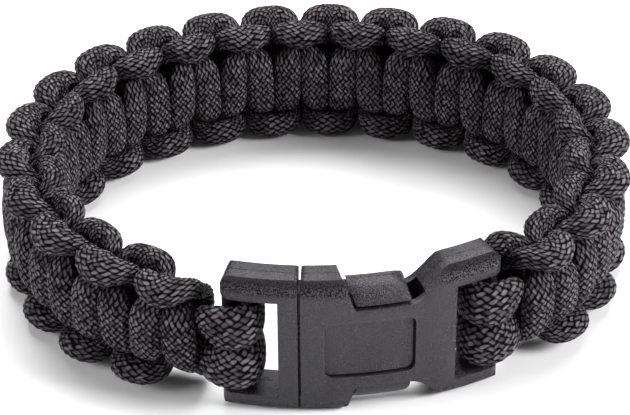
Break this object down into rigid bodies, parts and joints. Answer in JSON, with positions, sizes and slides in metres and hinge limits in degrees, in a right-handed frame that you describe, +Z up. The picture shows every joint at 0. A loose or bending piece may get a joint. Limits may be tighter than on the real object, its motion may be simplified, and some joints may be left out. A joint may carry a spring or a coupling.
{
  "type": "paracord bracelet",
  "caption": "Knotted cord bracelet in two interlocked rows of turns round a doubled core, closed by a curved side-release buckle.",
  "frame": {"origin": "on the floor, under the middle of the bracelet's bounding box, which rests on its edge", "axes": "+Z up along the ring's axis, -Y towards the buckle, +X towards the female half's side"},
  "size_m": [0.0784, 0.0663, 0.0182],
  "materials": {
    "cord": "woven nylon sheath, slight sheen",
    "buckle_plastic": "moulded, fine stipple"
  },
  "bodies": {
    "root": {"buckle_male": "buckle_plastic", "buckle_female": "buckle_plastic", "core_cord": "cord", "knot_cord_outer": "cord", "knot_cord_inner": "cord"}
  },
  "joints": []
}
